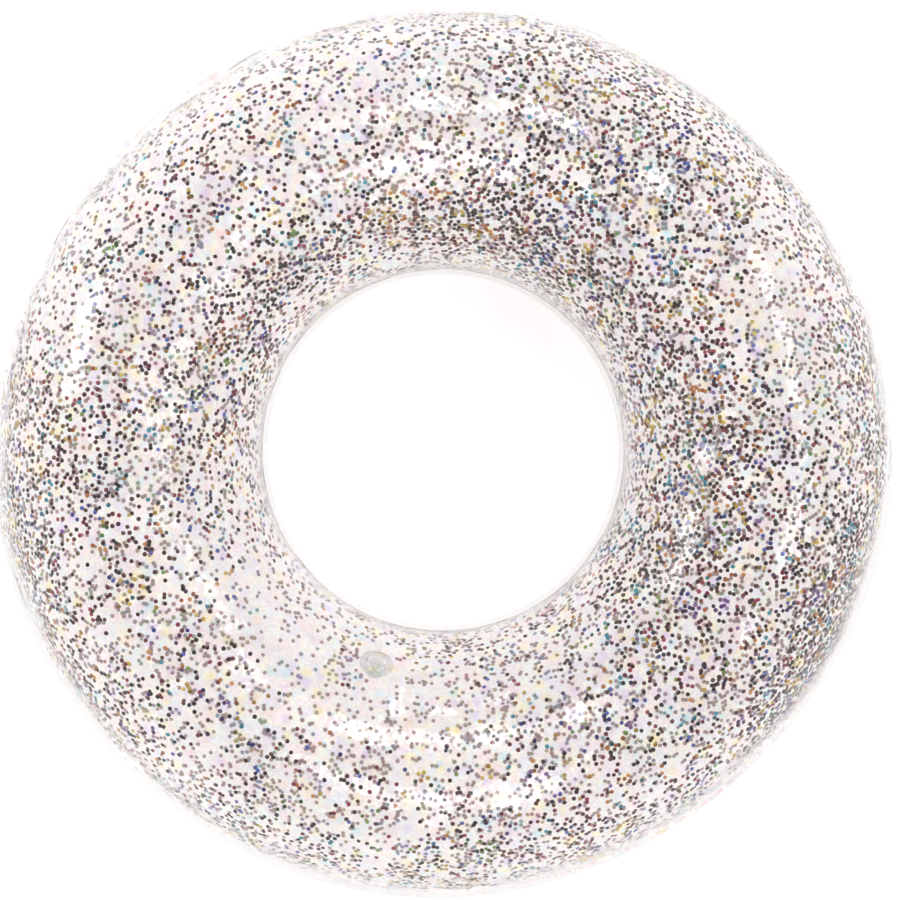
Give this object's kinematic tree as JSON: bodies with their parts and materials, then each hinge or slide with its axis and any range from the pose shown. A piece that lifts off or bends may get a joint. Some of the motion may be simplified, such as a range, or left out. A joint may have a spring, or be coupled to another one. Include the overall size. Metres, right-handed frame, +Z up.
{
  "type": "inflatable pool float",
  "caption": "Clear inflated swim ring with loose foil confetti inside, welded film halves and a push-in valve with a tethered plug.",
  "frame": {"origin": "on the ring's axis, on the floor that the ring lies on", "axes": "+Z up along the ring's axis, from the film with the valve to the film without; +X and +Y in the floor"},
  "size_m": [0.9, 0.9, 0.262],
  "materials": {
    "clear_film": "gloss",
    "soft_pvc": "satin",
    "plug_pvc": "satin",
    "flap_pvc": "satin",
    "foil_black": "gloss",
    "foil_crimson": "gloss",
    "foil_indigo": "gloss",
    "foil_teal": "gloss",
    "foil_gold": "gloss",
    "foil_orange": "gloss",
    "foil_violet": "gloss",
    "foil_green": "gloss"
  },
  "bodies": {
    "ring": {"upper_film": "clear_film", "lower_film": "clear_film", "valve_flange": "soft_pvc", "valve_bellows": "soft_pvc", "confetti_01": "foil_crimson", "confetti_02": "foil_indigo", "confetti_03": "foil_teal", "confetti_04": "foil_gold", "confetti_05": "foil_orange", "confetti_06": "foil_violet", "confetti_07": "foil_green", "confetti_08": "foil_black", "confetti_09": "foil_crimson", "confetti_10": "foil_indigo", "confetti_11": "foil_teal", "confetti_12": "foil_gold", "confetti_13": "foil_orange", "confetti_14": "foil_violet", "confetti_15": "foil_green", "confetti_16": "foil_black", "confetti_17": "foil_crimson", "confetti_18": "foil_indigo", "confetti_19": "foil_teal", "confetti_20": "foil_gold", "confetti_21": "foil_orange", "confetti_22": "foil_violet", "confetti_23": "foil_green", "confetti_24": "foil_black", "confetti_25": "foil_crimson", "confetti_26": "foil_indigo", "confetti_27": "foil_teal", "confetti_28": "foil_gold", "confetti_29": "foil_orange", "confetti_30": "foil_violet", "confetti_31": "foil_green", "confetti_32": "foil_black", "confetti_33": "foil_crimson", "confetti_34": "foil_indigo", "confetti_35": "foil_teal", "confetti_36": "foil_gold", "confetti_37": "foil_orange", "confetti_38": "foil_violet", "confetti_39": "foil_green", "confetti_40": "foil_black"},
    "valve": {"valve_stem": "soft_pvc", "strap_ring": "plug_pvc", "plug_strap": "plug_pvc"},
    "stopper": {"plug": "plug_pvc"},
    "flap": {"check_flap": "flap_pvc"}
  },
  "joints": [
    {"name": "valve_pull", "type": "slide", "parent": "ring", "child": "valve", "axis": [0.1872, 0.6008, -0.7772], "range_m": [0, 0.014], "deforming": ["valve_bellows"]},
    {"name": "plug_pull", "type": "slide", "parent": "valve", "child": "stopper", "axis": [0.1872, 0.6008, -0.7772], "range_m": [0, 0.012], "deforming": ["plug_strap"]},
    {"name": "flap_open", "type": "hinge", "parent": "valve", "child": "flap", "pos_m": [-0.07361, -0.23623, 0.0415], "axis": [0.9547, -0.2975, 0], "range_deg": [0, 50], "stiffness_Nm_per_rad": 0.00005, "springref_deg": -11.46}
  ]
}
